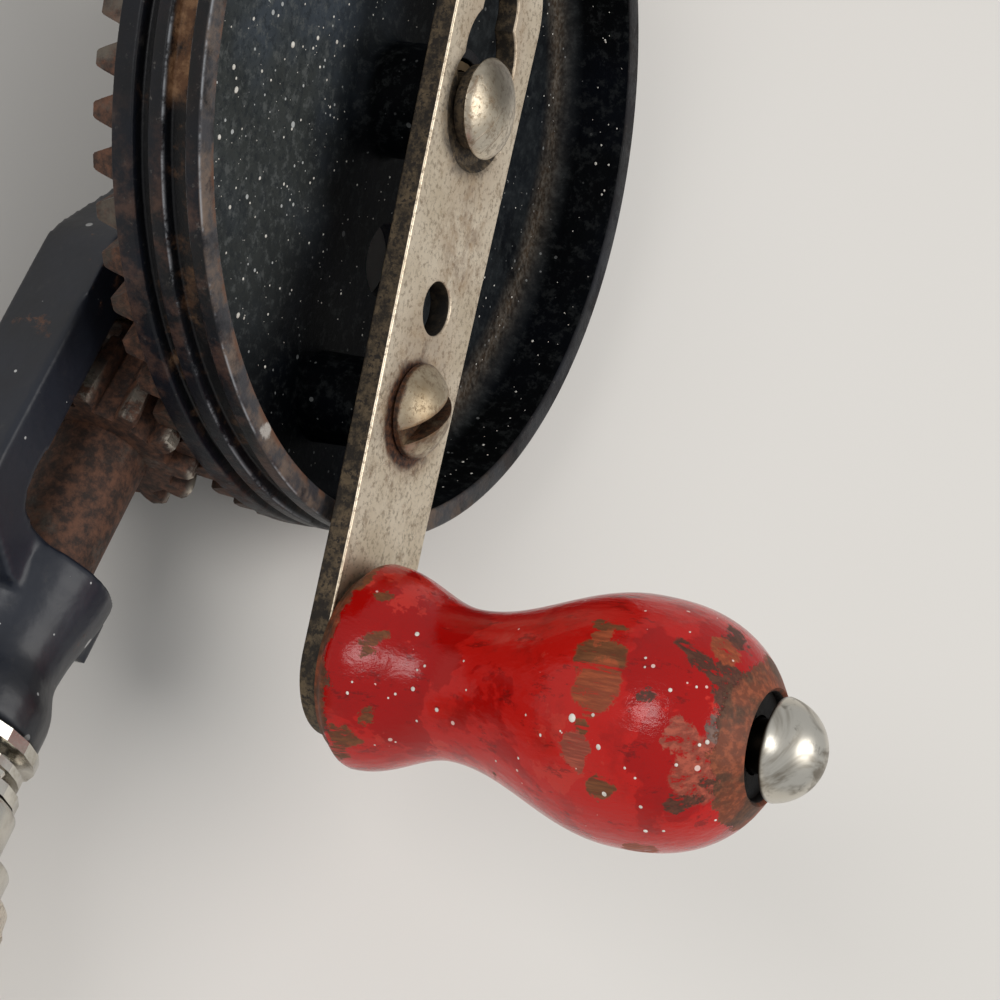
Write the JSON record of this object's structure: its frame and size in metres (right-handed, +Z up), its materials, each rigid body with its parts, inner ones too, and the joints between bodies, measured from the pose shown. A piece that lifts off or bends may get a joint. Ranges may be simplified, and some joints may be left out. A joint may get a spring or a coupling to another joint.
{
  "type": "hand drill",
  "caption": "Hand-cranked eggbeater drill with a cupped bevel gear wheel, flat crank arm, turned red knob and handle, cast frame and a jaw chuck, lying at rest.",
  "frame": {"origin": "on the resting surface, under the middle of the whole drill's box", "axes": "+X along the drill from handle to chuck, less a small pitch, +Z up from the resting surface"},
  "size_m": [0.3034, 0.1072, 0.0766],
  "materials": {
    "black_iron": "worn black enamel",
    "bare_iron": "rusty, bright on the tooth faces",
    "bronze": "dull bearing metal",
    "red_wood": "glossy red enamel with chips",
    "nickel": "worn nickel plating",
    "bright_steel": "bright, lightly stained",
    "steel": "dull"
  },
  "bodies": {
    "frame_body": {"frame": "black_iron", "front_bush": "bronze", "inner_bush": "bronze", "idler_stud": "steel", "axle_stud": "nickel", "axle_washer": "steel", "axle_nut": "steel", "ferrule": "nickel", "main_handle": "red_wood", "handle_pin": "steel", "thrust_race_rear": "bright_steel"},
    "wheel_body": {"gear_wheel": "black_iron", "hub_bush": "bronze", "crank_arm": "nickel", "knob_rivet": "bright_steel"},
    "lock_screw_body": {"lock_screw": "nickel"},
    "knob_body": {"crank_knob": "red_wood"},
    "spindle_body": {"spindle": "steel", "drive_pinion": "bare_iron", "pinion_pin": "steel", "thrust_race_front": "bright_steel", "chuck_body": "bright_steel"},
    "cage_body": {"ball_cage": "bright_steel"},
    "idler_body": {"idler_pinion": "bare_iron"},
    "sleeve_body": {"chuck_sleeve": "bright_steel", "nut_ring": "steel"},
    "jaw_1_body": {"jaw_1": "steel"},
    "jaw_2_body": {"jaw_2": "steel"},
    "jaw_3_body": {"jaw_3": "steel"}
  },
  "joints": [
    {"name": "wheel_turn", "type": "hinge", "parent": "frame_body", "child": "wheel_body", "pos_m": [0.01764, -0.01276, 0.01534], "axis": [0.0082, 0.46, 0.8879], "continuous": true},
    {"name": "spindle_turn", "type": "hinge", "parent": "frame_body", "child": "spindle_body", "pos_m": [0.01764, -0.01276, 0.01534], "axis": [1, 0, -0.0093], "continuous": true},
    {"name": "idler_turn", "type": "hinge", "parent": "frame_body", "child": "idler_body", "pos_m": [0.01764, -0.01276, 0.01534], "axis": [1, 0, -0.0093], "continuous": true},
    {"name": "cage_turn", "type": "hinge", "parent": "frame_body", "child": "cage_body", "pos_m": [0.01764, -0.01276, 0.01534], "axis": [1, 0, -0.0093], "continuous": true},
    {"name": "knob_spin", "type": "hinge", "parent": "wheel_body", "child": "knob_body", "pos_m": [0.07774, 0.02268, 0.02661], "axis": [0.0082, 0.46, 0.8879], "continuous": true},
    {"name": "lock_screw_out", "type": "slide", "parent": "wheel_body", "child": "lock_screw_body", "axis": [0.0082, 0.46, 0.8879], "range_m": [0, 0.005]},
    {"name": "sleeve_turn", "type": "hinge", "parent": "spindle_body", "child": "sleeve_body", "pos_m": [0.01764, -0.01276, 0.01534], "axis": [-1, 0, 0.0093], "range_deg": [0, 2784]},
    {"name": "jaw_1_slide", "type": "slide", "parent": "spindle_body", "child": "jaw_1_body", "axis": [0.968, 0.1191, 0.2209], "range_m": [0, 0.0117]},
    {"name": "jaw_2_slide", "type": "slide", "parent": "spindle_body", "child": "jaw_2_body", "axis": [0.9658, -0.2586, -0.0207], "range_m": [0, 0.0117]},
    {"name": "jaw_3_slide", "type": "slide", "parent": "spindle_body", "child": "jaw_3_body", "axis": [0.9639, 0.1395, -0.227], "range_m": [0, 0.0117]}
  ],
  "couplings": [
    {"joint": "spindle_turn", "follows": "wheel_turn", "ratio": -5},
    {"joint": "idler_turn", "follows": "wheel_turn", "ratio": 5},
    {"joint": "cage_turn", "follows": "wheel_turn", "ratio": -2.5},
    {"joint": "jaw_1_slide", "follows": "sleeve_turn", "m_per_rad": 0.00023873},
    {"joint": "jaw_2_slide", "follows": "sleeve_turn", "m_per_rad": 0.00023873},
    {"joint": "jaw_3_slide", "follows": "sleeve_turn", "m_per_rad": 0.00023873}
  ]
}
